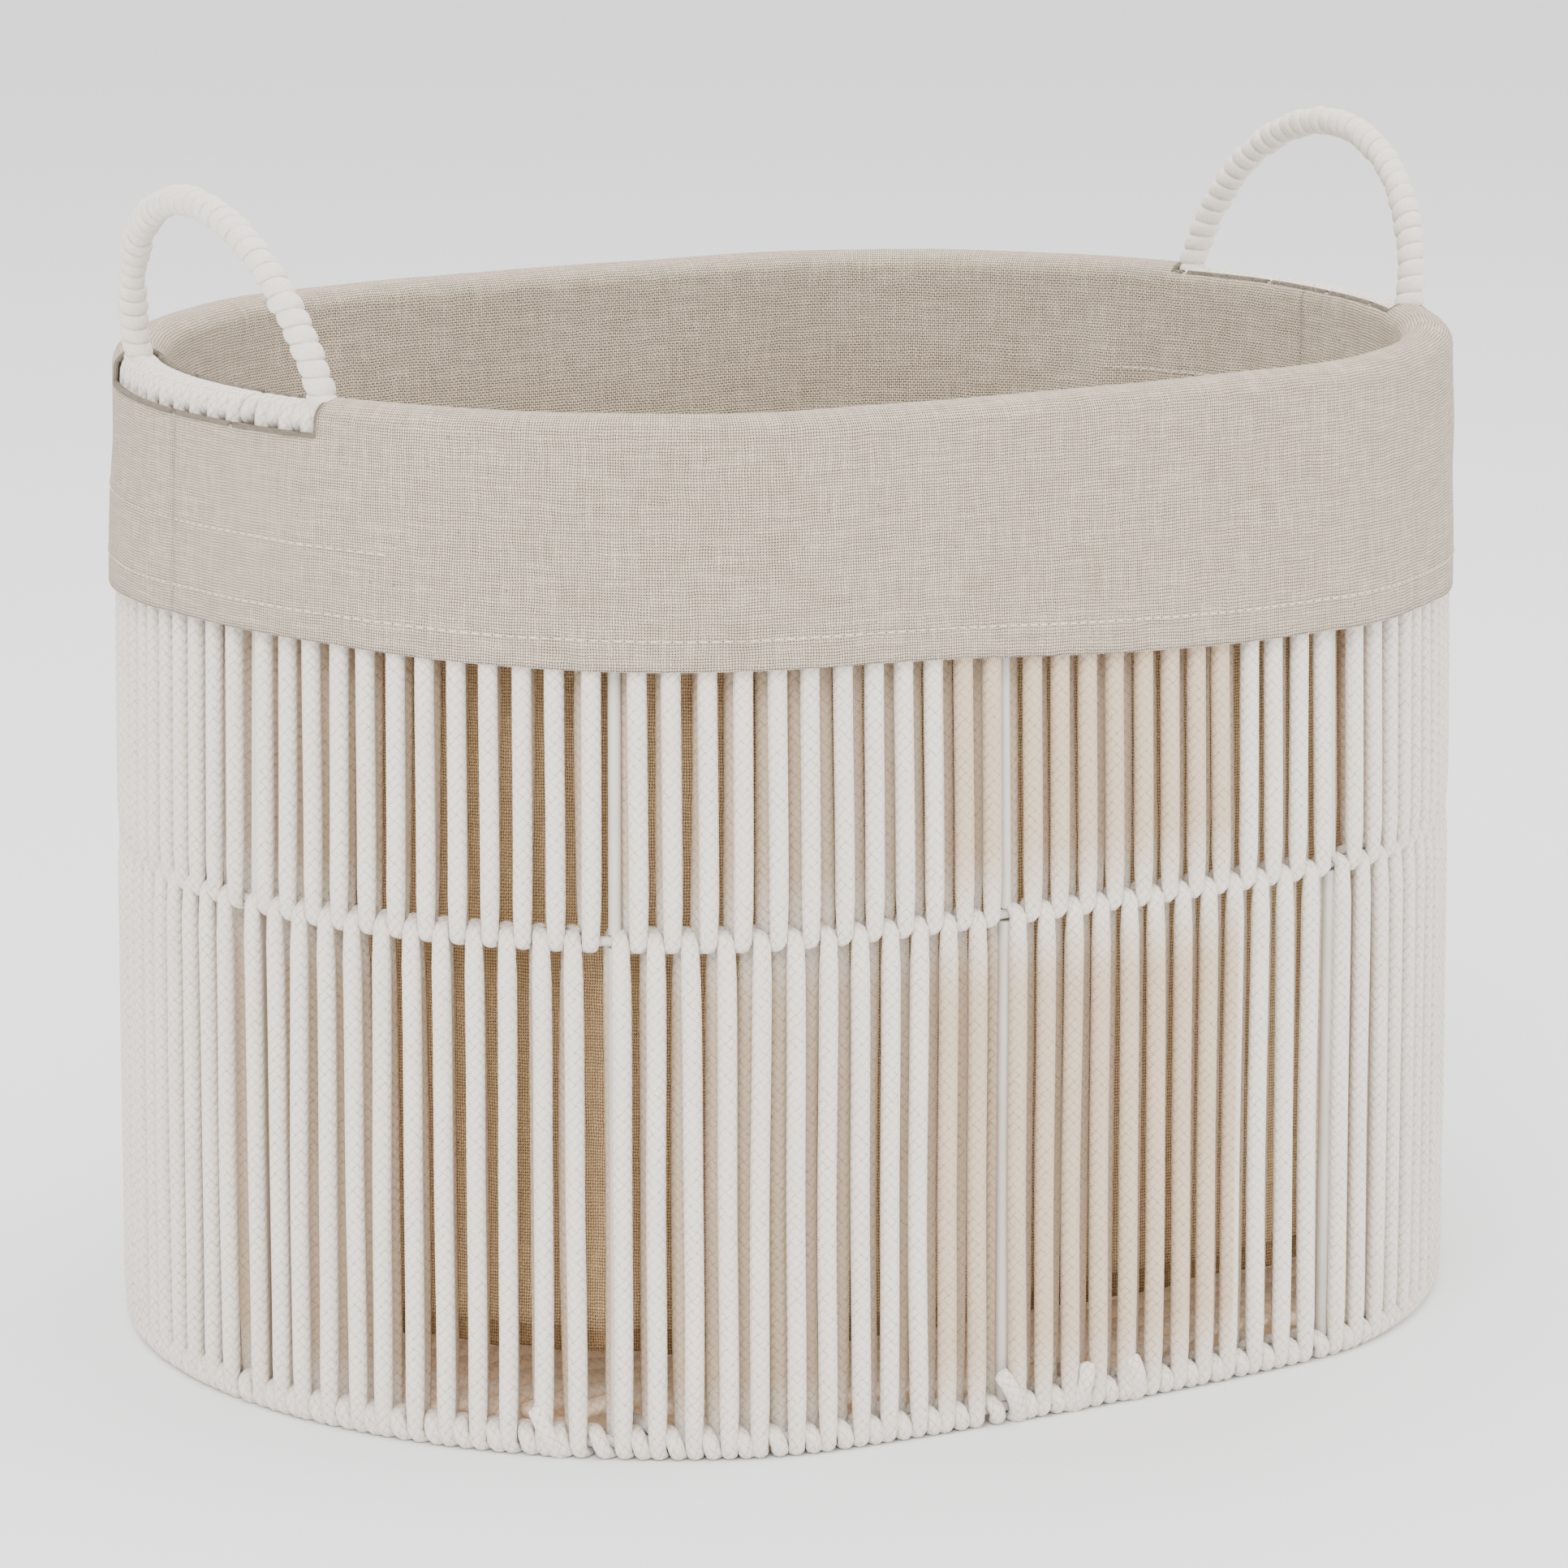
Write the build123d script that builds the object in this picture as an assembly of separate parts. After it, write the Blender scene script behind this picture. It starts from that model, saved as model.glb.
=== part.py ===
"""Oval laundry basket: a welded wire frame wound with braided cotton cord, two wrapped
loop handles, a woven cord base and a lift-out linen liner whose cuff folds over the rim.

Millimetres, +Z up.  The origin is the centre of the footprint on the floor.  The long
axis lies along X, so the handles are at -X (left) and +X (right); the front is -Y.
Every layer is an offset from one oval, the centre line of the wire rings.
"""
import math
import os

from build123d import *

# --- driving dimensions -----------------------------------------------------
HALF_LENGTH = 217.3          # ring centre line, along X
HALF_WIDTH = 171.0           # ring centre line, along Y
END_RADIUS = 176.6           # the oval's arcs: ends, long sides and corners
SIDE_RADIUS = 956.0
CORNER_RADIUS = 98.2
RING_WIRE = 4.0              # wire diameters
MIDDLE_WIRE = 3.0
UPRIGHT_WIRE = 4.0
BASE_WIRE = 4.0
HANDLE_WIRE = 5.0
CORD_SIDE = 5.0              # braided cord: how far it stands out from a ring's side
CORD_CROWN = 3.2             # the same where it is pulled tight over a ring's top
RIM_Z = 320.0                # top of the liner's fold
MIDDLE_Z = 161.0             # height of the middle ring
TAPER = 3.5                  # the top ring lies this far inside the other two
UPRIGHTS = 10
FIRST_UPRIGHT = 0.727        # share of the perimeter, counted from +X through +Y
BASE_WIRES = 5
BASE_WIRE_PITCH = 70.0
HANDLE_SPAN = 124.0          # between the centres of a handle's legs
HANDLE_LEAN = 13.0           # degrees outwards
WRAP_OUTER = 9.6             # diameter over the cord wrapped on a handle
CLOTH = 1.2                  # liner cloth, with its turned edges
CLOTH_GAP = 0.4              # between the cloth and the cord
LINER_FLOOR_Z = 37.0
SEAM_DROP = 7.0              # raw seam edge below the liner's floor
CUFF_EDGE_Z = 239.0
SLOT_HALF_ANGLE = 24.0       # of the oval's end arc, either side of the X axis
SLOT_EDGE_Z = 303.0          # lower edge of the handle slot, outside
SLOT_HEM_ANGLE = 38.0        # how far the slot's inner edge curls over the rim
FIT = 0.1                    # clearance between pieces that lie on each other
WELD_GAP = 0.05              # between wires that are welded to each other
FOOT = 0.3                   # how much of the cord is pressed flat under the basket
WEAVE_HALF = 6.8             # the base weave passes over and under the base wires

# --- derived dimensions -----------------------------------------------------
RING_R = RING_WIRE / 2
WALL = RING_R + CORD_SIDE    # ring centre line to the cord's outer face
CROWN = RING_R + CORD_CROWN  # ring centre to the outside of the cord over it
VOID = RING_R + FIT          # half the space between the two cord layers
LINER_IN = WALL + CLOTH_GAP
LINER_OUT = LINER_IN + CLOTH
BOTTOM_Z = CROWN - FOOT
TOP_Z = RIM_Z - CLOTH - CLOTH_GAP - CROWN
CUFF_SEAM_Z = TOP_Z - 2.0    # the cuff's seam with the liner's wall, just inside the rim
CUFF_FLARE = 1.9             # the cuff's lower edge stands this far out from its top
CUFF_END_IN = LINER_IN + 2.2
WRAP_R = WRAP_OUTER / 2
BASE_R = BASE_WIRE / 2
BASE_Z = BOTTOM_Z + RING_R + BASE_R + WELD_GAP


def corner():
    """Centre of the +X +Y corner arc, and the normal angles where it begins and ends."""
    end = (HALF_LENGTH - END_RADIUS, 0.0)
    side = (0.0, HALF_WIDTH - SIDE_RADIUS)
    r1, r2 = END_RADIUS - CORNER_RADIUS, SIDE_RADIUS - CORNER_RADIUS
    d = math.dist(end, side)
    t = (r1 * r1 - r2 * r2 + d * d) / (2 * d)
    h = math.sqrt(r1 * r1 - t * t)
    u = ((side[0] - end[0]) / d, (side[1] - end[1]) / d)
    both = [(end[0] + t * u[0] - s * h * u[1], end[1] + t * u[1] + s * h * u[0]) for s in (1, -1)]
    x, y = max(both, key=lambda c: c[0] + c[1])
    return x, y, math.degrees(math.atan2(y, x - end[0])), math.degrees(math.atan2(y - side[1], x))


CORNER_X, CORNER_Y, END_ANGLE, SIDE_ANGLE = corner()
QUARTER_ANGLE = (END_ANGLE + SIDE_ANGLE) / 2


def oval_arcs():
    """The oval's eight arcs, anticlockwise: centre x, centre y, radius, from and to angle."""
    end_x, side_y = HALF_LENGTH - END_RADIUS, HALF_WIDTH - SIDE_RADIUS
    a, b = END_ANGLE, SIDE_ANGLE
    return [
        (end_x, 0, END_RADIUS, -a, a),
        (CORNER_X, CORNER_Y, CORNER_RADIUS, a, b),
        (0, side_y, SIDE_RADIUS, b, 180 - b),
        (-CORNER_X, CORNER_Y, CORNER_RADIUS, 180 - b, 180 - a),
        (-end_x, 0, END_RADIUS, 180 - a, 180 + a),
        (-CORNER_X, -CORNER_Y, CORNER_RADIUS, 180 + a, 180 + b),
        (0, -side_y, SIDE_RADIUS, 180 + b, 360 - b),
        (CORNER_X, -CORNER_Y, CORNER_RADIUS, 360 - b, 360 - a),
    ]


def arcs_between(start, stop):
    """The parts of the oval's arcs whose normal angle lies between start and stop, in degrees."""
    found = []
    for x, y, r, a, b in oval_arcs():
        for turn in (-360, 0, 360):
            low, high = max(a + turn, start), min(b + turn, stop)
            if high - low > 1e-6:
                found.append((x, y, r, low, high))
    return sorted(found, key=lambda arc: arc[3])


def point_at(share):
    """A point of the ring centre line and its normal angle, at a share of the perimeter from +X."""
    arcs = arcs_between(0, 360)
    left = share % 1.0 * sum(r * math.radians(b - a) for _, _, r, a, b in arcs)
    for x, y, r, a, b in arcs:
        length = r * math.radians(b - a)
        if left <= length:
            angle = math.radians(a) + left / r
            return x + r * math.cos(angle), y + r * math.sin(angle), angle
        left -= length


def along_oval(section, start, stop):
    """A solid that carries section(radius) along the oval between two normal angles."""
    pieces = []
    for x, y, r, a, b in arcs_between(start, stop):
        piece = revolve(section(r), Axis.Z, b - a)
        pieces.append(Pos(x, y, 0) * Rot(0, 0, a) * piece)
    solid = pieces[0]
    for piece in pieces[1:]:
        solid = solid + piece
    return solid


def crown_of(offset):
    """Height above a ring's centre of a layer that stands out by offset at its side."""
    return offset if offset <= VOID else offset - WALL + CROWN


def outline(*edges):
    return make_face(Curve() + list(edges))


def xz(x, z):
    return (x, 0, z)


def wire_section(r, z, radius):
    return Plane.XZ.shift_origin((r, 0, z)) * Circle(radius)


def bent_band(r, z, inner, outer, out_end, in_end, up, out_shift=0.0, in_shift=0.0):
    """A U of cord or cloth over (up = 1) or under (up = -1) a ring at radius r and height z."""
    in_rise, out_rise = up * crown_of(inner), up * crown_of(outer)
    return outline(
        Line(xz(r + inner + out_shift, out_end), xz(r + outer + out_shift, out_end)),
        Line(xz(r + outer + out_shift, out_end), xz(r + outer, z)),
        ThreePointArc(xz(r + outer, z), xz(r, z + out_rise), xz(r - outer, z)),
        Line(xz(r - outer, z), xz(r - outer + in_shift, in_end)),
        Line(xz(r - outer + in_shift, in_end), xz(r - inner + in_shift, in_end)),
        Line(xz(r - inner + in_shift, in_end), xz(r - inner, z)),
        ThreePointArc(xz(r - inner, z), xz(r, z + in_rise), xz(r + inner, z)),
        Line(xz(r + inner, z), xz(r + inner + out_shift, out_end)),
    )


def flat_band(r, near, far, low, high):
    return outline(
        Line(xz(r + near, low), xz(r + far, low)),
        Line(xz(r + far, low), xz(r + far, high)),
        Line(xz(r + far, high), xz(r + near, high)),
        Line(xz(r + near, high), xz(r + near, low)),
    )


def hem_band(r):
    """The liner's inner wall at a handle slot, curling over the rim as far as the slot's edge."""
    def on(offset, degrees):
        rise = crown_of(offset)
        radius = (offset ** 2 + rise ** 2) / (2 * rise)
        turn = math.acos(offset / radius) + math.radians(degrees)
        return xz(r - radius * math.cos(turn), TOP_Z + rise - radius + radius * math.sin(turn))
    half, low = SLOT_HEM_ANGLE / 2, LINER_FLOOR_Z - SEAM_DROP
    return outline(
        Line(xz(r - LINER_OUT, low), xz(r - LINER_IN, low)),
        Line(xz(r - LINER_IN, low), xz(r - LINER_IN, TOP_Z)),
        ThreePointArc(on(LINER_IN, 0), on(LINER_IN, half), on(LINER_IN, SLOT_HEM_ANGLE)),
        Line(on(LINER_IN, SLOT_HEM_ANGLE), on(LINER_OUT, SLOT_HEM_ANGLE)),
        ThreePointArc(on(LINER_OUT, SLOT_HEM_ANGLE), on(LINER_OUT, half), on(LINER_OUT, 0)),
        Line(xz(r - LINER_OUT, TOP_Z), xz(r - LINER_OUT, low)),
    )


def plate(offset, low, high):
    """A flat oval plate whose edge is offset from the ring centre line."""
    edges = []
    for x, y, r, a, b in arcs_between(0, 360):
        turns = [math.radians(t) for t in (a, (a + b) / 2, b)]
        ends = [(x + (r + offset) * math.cos(t), y + (r + offset) * math.sin(t)) for t in turns]
        edges.append(ThreePointArc(*ends))
    return Pos(0, 0, low) * extrude(outline(*edges), high - low)


def rod(start, stop, radius):
    """A round wire from one point to another."""
    a, b = Vector(*start), Vector(*stop)
    return extrude(Plane(origin=a, z_dir=b - a) * Circle(radius), (b - a).length)


# --- frame --------------------------------------------------------------------
def ring(z, radius, inset=0.0):
    return along_oval(lambda r: wire_section(r - inset, z, radius), 0, 360)


def uprights(low, high, inset=0.0):
    """The straight wires between two rings; the upper ring may be inset from the lower one."""
    gap = RING_R + 2 * WELD_GAP
    solids = []
    for i in range(UPRIGHTS):
        x, y, angle = point_at(FIRST_UPRIGHT + i / UPRIGHTS)
        foot = Vector(x, y, low)
        head = Vector(x - inset * math.cos(angle), y - inset * math.sin(angle), high)
        step = (head - foot).normalized() * gap
        solids.append(rod(foot + step, head - step, UPRIGHT_WIRE / 2))
    return solids


def base_wires():
    """Half length of each base wire and its place along the basket."""
    solids = []
    for i in range(BASE_WIRES):
        x = (i - (BASE_WIRES - 1) / 2) * BASE_WIRE_PITCH
        if abs(x) < CORNER_X + CORNER_RADIUS * math.cos(math.radians(SIDE_ANGLE)):
            y = HALF_WIDTH - SIDE_RADIUS + math.sqrt(SIDE_RADIUS ** 2 - x * x)
        else:
            y = CORNER_Y + math.sqrt(CORNER_RADIUS ** 2 - (x - math.copysign(CORNER_X, x)) ** 2)
        solids.append((x, y))
    return solids


def base_rods(radius, extra=0.0):
    return [rod((x, -y - extra, BASE_Z), (x, y + extra, BASE_Z), radius) for x, y in base_wires()]


# --- handles --------------------------------------------------------------------
def leg_foot():
    """Where a handle's legs stand on the right end of the top ring."""
    radius = END_RADIUS - TAPER
    return HALF_LENGTH - END_RADIUS + math.sqrt(radius ** 2 - (HANDLE_SPAN / 2) ** 2)


def handle_tube(side, section, from_ring):
    """One handle carrying a flat section face: a half circle on the top ring, leaning outwards."""
    lean = math.radians(HANDLE_LEAN) * side
    up = Vector(math.sin(lean), 0, math.cos(lean))
    foot = Vector(side * leg_foot(), 0, TOP_Z)
    half = HANDLE_SPAN / 2
    span = Vector(0, 1, 0)
    first = math.asin(from_ring / half)
    begin = foot + span * (half * math.cos(first)) + up * (half * math.sin(first))
    way = up * math.cos(first) - span * math.sin(first)
    turn = 180 - 2 * math.degrees(first)
    return revolve(Plane(origin=begin, z_dir=way) * section, Axis(foot, up.cross(span)), -turn)


def handle_wire(side):
    return handle_tube(side, Circle(HANDLE_WIRE / 2), RING_R + 0.5)


def handle_wrap(side):
    return handle_tube(side, Circle(WRAP_R) - Circle(HANDLE_WIRE / 2 + FIT), RING_R + 0.8)


def leg_clearance(side):
    """The room that a handle's wrapped legs need through the cord on the top ring."""
    lean = math.radians(HANDLE_LEAN) * side
    up = Vector(math.sin(lean), 0, math.cos(lean))
    solids = []
    for way in (1, -1):
        foot = Vector(side * leg_foot(), way * HANDLE_SPAN / 2, TOP_Z)
        solids.append(rod(foot, foot + up * 2 * WALL, WRAP_R + 4 * FIT))
    return solids


# --- cord --------------------------------------------------------------------------
QUARTERS = {
    "right": (-QUARTER_ANGLE, QUARTER_ANGLE),
    "back": (QUARTER_ANGLE, 180 - QUARTER_ANGLE),
}


def upper_winding(place):
    """A quarter of the cord wound between the top and middle rings, as one hollow wall."""
    end = MIDDLE_Z + FIT
    solid = along_oval(
        lambda r: bent_band(r - TAPER, TOP_Z, VOID, WALL, end, end, 1, TAPER, TAPER),
        *QUARTERS[place])
    for room in leg_clearance(1) if place == "right" else []:
        solid = solid - room
    return solid


def lower_winding(place):
    """A quarter of the cord wound between the middle and bottom rings, as one hollow wall."""
    end = MIDDLE_Z - FIT
    solid = along_oval(lambda r: bent_band(r, BOTTOM_Z, VOID, WALL, end, end, -1), *QUARTERS[place])
    for wire in base_rods(BASE_R + FIT, 1.0):
        solid = solid - wire
    return solid - Pos(0, 0, -WALL) * Box(3 * HALF_LENGTH, 3 * HALF_WIDTH, 2 * WALL)


def base_weave():
    solid = plate(-WALL - 2 * FIT, BASE_Z - WEAVE_HALF, BASE_Z + WEAVE_HALF)
    for wire in base_rods(BASE_R + FIT):
        solid = solid - wire
    return solid


# --- liner --------------------------------------------------------------------------
def liner_wall(middle):
    """Half of the liner's wall.  At the handle slots its top edge curls over the rim."""
    low = LINER_FLOOR_Z - SEAM_DROP
    start, stop = middle - 90, middle + 90
    full = along_oval(
        lambda r: flat_band(r - TAPER, -LINER_OUT, -LINER_IN, low, CUFF_SEAM_Z - FIT),
        start + SLOT_HALF_ANGLE, stop - SLOT_HALF_ANGLE)
    near = along_oval(lambda r: hem_band(r - TAPER), start, start + SLOT_HALF_ANGLE)
    far = along_oval(lambda r: hem_band(r - TAPER), stop - SLOT_HALF_ANGLE, stop)
    return near + full + far


def liner_cuff(middle):
    """Half of the cuff, from its seam with the wall over the rim and down outside."""
    return along_oval(
        lambda r: bent_band(
            r - TAPER, TOP_Z, LINER_IN, LINER_OUT, CUFF_EDGE_Z, CUFF_SEAM_Z, 1, CUFF_FLARE),
        middle - 90 + SLOT_HALF_ANGLE, middle + 90 - SLOT_HALF_ANGLE)


def cuff_end(middle):
    """The cuff below a handle slot, in the opening between the two panels' cuffs."""
    reach = SLOT_HALF_ANGLE - math.degrees(FIT / END_RADIUS)
    return along_oval(
        lambda r: flat_band(
            r - TAPER, CUFF_END_IN, CUFF_END_IN + CLOTH, CUFF_EDGE_Z, SLOT_EDGE_Z),
        middle - reach, middle + reach)


def liner_floor():
    return plate(-TAPER - LINER_OUT - FIT, LINER_FLOOR_Z, LINER_FLOOR_Z + CLOTH)


def main():
    nodes = {
        "top_ring": ring(TOP_Z, RING_R, TAPER),
        "middle_ring": ring(MIDDLE_Z, MIDDLE_WIRE / 2),
        "bottom_ring": ring(BOTTOM_Z, RING_R),
        "upper_uprights": Compound(uprights(MIDDLE_Z, TOP_Z, TAPER)),
        "lower_uprights": Compound(uprights(BOTTOM_Z, MIDDLE_Z)),
        "base_cross_wires": Compound(base_rods(BASE_R)),
        "base_weave": base_weave(),
        "liner_front_wall": liner_wall(270),
        "liner_back_wall": liner_wall(90),
        "liner_front_cuff": liner_cuff(270),
        "liner_back_cuff": liner_cuff(90),
        "liner_floor_panel": liner_floor(),
        "cuff_end_left": cuff_end(180),
        "cuff_end_right": cuff_end(0),
    }
    for side, name in ((1, "right"), (-1, "left")):
        nodes["handle_wire_" + name] = handle_wire(side)
        nodes["handle_wrap_" + name] = handle_wrap(side)
    for place in ("right", "back"):
        nodes["upper_winding_" + place] = upper_winding(place)
        nodes["lower_winding_" + place] = lower_winding(place)
    for level in ("upper", "lower"):
        nodes[level + "_winding_left"] = mirror(nodes[level + "_winding_right"], Plane.YZ)
        nodes[level + "_winding_front"] = mirror(nodes[level + "_winding_back"], Plane.XZ)
    os.makedirs("parts", exist_ok=True)
    for name, shape in nodes.items():
        export_step(shape, f"parts/{name}.step")


main()
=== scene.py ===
"""Looks of the oval laundry basket: wound braided cord, wrapped handles and a linen liner.

Metres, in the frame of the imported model.  Most pieces follow one oval, the centre line of
the wire rings: a place is (u, n, z), where u runs along that line anticlockwise from +X, n
is outwards from it and z is up.
"""

import math

import bpy
import numpy as np
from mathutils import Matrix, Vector


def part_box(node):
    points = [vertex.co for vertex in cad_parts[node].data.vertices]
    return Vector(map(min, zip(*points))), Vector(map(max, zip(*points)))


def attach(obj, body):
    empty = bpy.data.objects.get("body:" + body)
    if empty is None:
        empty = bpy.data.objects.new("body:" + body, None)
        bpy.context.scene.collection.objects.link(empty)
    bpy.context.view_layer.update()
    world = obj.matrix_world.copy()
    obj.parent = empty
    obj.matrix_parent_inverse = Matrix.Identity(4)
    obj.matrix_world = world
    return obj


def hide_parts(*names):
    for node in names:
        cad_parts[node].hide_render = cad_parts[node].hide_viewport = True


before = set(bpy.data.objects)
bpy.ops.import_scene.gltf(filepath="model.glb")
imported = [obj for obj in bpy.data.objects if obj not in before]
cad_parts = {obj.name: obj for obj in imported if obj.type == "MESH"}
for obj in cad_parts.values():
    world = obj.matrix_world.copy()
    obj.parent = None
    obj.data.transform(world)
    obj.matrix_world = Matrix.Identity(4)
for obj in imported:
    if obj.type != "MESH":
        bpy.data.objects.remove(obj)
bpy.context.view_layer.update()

# --- measures ---------------------------------------------------------------
MM = 0.001
RING_R = 2.0 * MM
MIDDLE_R = 1.5 * MM
END_RADIUS = 176.6 * MM          # the oval's arcs
SIDE_RADIUS = 956.0 * MM
CORNER_RADIUS = 98.2 * MM
HALF_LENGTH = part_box("bottom_ring")[1][0] - RING_R
HALF_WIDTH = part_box("bottom_ring")[1][1] - RING_R
TAPER = HALF_LENGTH - (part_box("top_ring")[1][0] - RING_R)
TOP_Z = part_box("top_ring")[1][2] - RING_R
MIDDLE_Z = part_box("middle_ring")[1][2] - MIDDLE_R
BOTTOM_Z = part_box("bottom_ring")[1][2] - RING_R
BASE_Z = (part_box("base_cross_wires")[0][2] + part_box("base_cross_wires")[1][2]) / 2
CORD_R = 3.0 * MM
BAYS = 10                        # spaces between uprights
TURNS = 12                       # turns of cord in a bay
BASE_WIRE_PITCH = 70.0 * MM
FIRST_UPRIGHT = 0.727            # share of the oval
PITCH = 10.25 * MM
HANDLE_HALF = 62.0 * MM
HANDLE_LEAN = math.radians(13.0)
CLOTH = 1.2 * MM
CLOTH_SIDE = 8.0 * MM            # ring centre to the middle of the cloth, at its side
CLOTH_CROWN = 6.2 * MM           # the same over the ring
WALL_LOW = 36.0 * MM
FLOOR_Z = 37.6 * MM
SLOT_HALF = 67.0 * MM
SLOT_EDGE_Z = 308.6 * MM
STITCH_PITCH = 3.5 * MM
STITCH_LIFT = 0.72 * MM          # middle of the cloth to the middle of the thread
STITCH_HALF_LENGTH = 1.35 * MM
STITCH_HALF_WIDTH = 0.26 * MM


# --- the oval ---------------------------------------------------------------
def oval_table():
    """Centre, radius, first angle and first u of the oval's arcs, anticlockwise from +X."""
    end = np.array([HALF_LENGTH - END_RADIUS, 0.0])
    side = np.array([0.0, HALF_WIDTH - SIDE_RADIUS])
    r1, r2 = END_RADIUS - CORNER_RADIUS, SIDE_RADIUS - CORNER_RADIUS
    d = np.linalg.norm(side - end)
    t = (r1 * r1 - r2 * r2 + d * d) / (2 * d)
    h = math.sqrt(r1 * r1 - t * t)
    along = (side - end) / d
    across = np.array([-along[1], along[0]])
    x, y = max((end + t * along + s * h * across for s in (1, -1)), key=lambda c: c.sum())
    a, b = math.atan2(y, x - end[0]), math.atan2(y - side[1], x)
    pi = math.pi
    rows = [
        (end[0], 0, END_RADIUS, 0, a),
        (x, y, CORNER_RADIUS, a, b),
        (0, side[1], SIDE_RADIUS, b, pi - b),
        (-x, y, CORNER_RADIUS, pi - b, pi - a),
        (-end[0], 0, END_RADIUS, pi - a, pi + a),
        (-x, -y, CORNER_RADIUS, pi + a, pi + b),
        (0, -side[1], SIDE_RADIUS, pi + b, 2 * pi - b),
        (x, -y, CORNER_RADIUS, 2 * pi - b, 2 * pi - a),
        (end[0], 0, END_RADIUS, 2 * pi - a, 2 * pi),
    ]
    lengths = [r * (stop - start) for _, _, r, start, stop in rows]
    starts = np.concatenate([[0], np.cumsum(lengths)])
    return np.array([row[:4] for row in rows]), starts


ARCS, ARC_STARTS = oval_table()
PERIMETER = ARC_STARTS[-1]


def oval_angle(u):
    u = np.mod(np.asarray(u, float), PERIMETER)
    i = np.clip(np.searchsorted(ARC_STARTS, u, side="right") - 1, 0, len(ARCS) - 1)
    return i, ARCS[i, 3] + (u - ARC_STARTS[i]) / ARCS[i, 2]


def place(u, n, z):
    """Points (..., 3) at u along the oval, n outwards and height z."""
    u, n, z = np.broadcast_arrays(u, n, z)
    i, angle = oval_angle(u)
    reach = ARCS[i, 2] + n
    return np.stack([ARCS[i, 0] + reach * np.cos(angle), ARCS[i, 1] + reach * np.sin(angle), z], -1)


def along(u):
    """Unit vectors along the oval."""
    _, angle = oval_angle(u)
    return np.stack([-np.sin(angle), np.cos(angle), np.zeros_like(angle)], -1)


def oval_depth(points):
    """How far points lie outside (or, negative, inside) the ring centre line."""
    best = np.full(len(points), np.inf)
    found = np.zeros(len(points))
    for (x, y, radius, start), stop in zip(ARCS, np.append(ARCS[1:, 3], 2 * math.pi)):
        dx, dy = points[:, 0] - x, points[:, 1] - y
        angle = np.mod(np.arctan2(dy, dx), 2 * math.pi)
        off = np.maximum(np.maximum(start - angle, angle - stop), 0.0)
        closer = off < best - 1e-9
        best = np.where(closer, off, best)
        found = np.where(closer, np.hypot(dx, dy) - radius, found)
    return found


# --- meshes -----------------------------------------------------------------
TIP_SIZES = (0.92, 0.62, 0.25)    # the rounded end of a cord, ring by ring
TIP_STEP = 0.25


def tube_faces(count, segments):
    """Quads of a tube of count rings, and the ring and segment that each quad starts at."""
    i, j = np.meshgrid(np.arange(count - 1), np.arange(segments), indexing="ij")
    k = (j + 1) % segments
    near, far = i * segments, (i + 1) * segments
    faces = np.stack([near + j, near + k, far + k, far + j], -1)
    return faces.reshape(-1, 4).tolist(), i, j


def tube_caps(count, segments):
    """The two end faces of such a tube."""
    last = (count - 1) * segments
    return [list(range(segments))[::-1], list(range(last, last + segments))]


def sweep(path, side, half_width, half_thick, segments=10, tips=True):
    """A cord along path: (vertices, faces, loop UVs).  U goes round it, V along it in girths."""
    path = np.asarray(path, float)
    count = len(path)
    width = np.broadcast_to(half_width, count).astype(float)
    thick = np.broadcast_to(half_thick, count).astype(float)
    tangent = np.gradient(path, axis=0)
    tangent /= np.linalg.norm(tangent, axis=1)[:, None]
    side = np.broadcast_to(side, path.shape)
    side = side - (side * tangent).sum(1)[:, None] * tangent
    side = side / np.linalg.norm(side, axis=1)[:, None]
    up = np.cross(tangent, side)
    if tips:
        reach = thick[0]
        for size in TIP_SIZES:
            path = np.vstack([path[:1], path, path[-1:]])
            path[0] = path[1] - tangent[0] * reach * TIP_STEP
            path[-1] = path[-2] + tangent[-1] * reach * TIP_STEP
            width = np.concatenate([[width[0] * size], width, [width[-1] * size]])
            thick = np.concatenate([[thick[0] * size], thick, [thick[-1] * size]])
            side = np.vstack([side[:1], side, side[-1:]])
            up = np.vstack([up[:1], up, up[-1:]])
            tangent = np.vstack([tangent[:1], tangent, tangent[-1:]])
        count = len(path)
    turn = np.arange(segments) * 2 * math.pi / segments
    verts = (
        path[:, None, :]
        + width[:, None, None] * np.cos(turn)[None, :, None] * side[:, None, :]
        + thick[:, None, None] * np.sin(turn)[None, :, None] * up[:, None, :]
    ).reshape(-1, 3)
    step = np.linalg.norm(np.diff(path, axis=0), axis=1)
    v = np.concatenate([[0], np.cumsum(step)]) / (2 * math.pi * CORD_R)
    faces, i, j = tube_faces(count, segments)
    u0, u1 = j / segments, (j + 1) / segments
    uvs = np.stack([
        np.stack([u0, v[i]], -1), np.stack([u1, v[i]], -1),
        np.stack([u1, v[i + 1]], -1), np.stack([u0, v[i + 1]], -1)], -2)
    uvs = uvs.reshape(-1, 2)
    if tips:
        faces += tube_caps(count, segments)
        caps = np.stack([np.tile(turn / (2 * math.pi), 2), np.repeat([v[0], v[-1]], segments)], -1)
        uvs = np.vstack([uvs, caps])
    return verts, faces, uvs


def joined(parts):
    """Several (vertices, faces, UVs) as one."""
    verts, faces, uvs, start = [], [], [], 0
    for v, f, t in parts:
        verts.append(v)
        faces.extend([[a + start for a in face] for face in f])
        uvs.append(t)
        start += len(v)
    return np.vstack(verts), faces, np.vstack(uvs)


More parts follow.
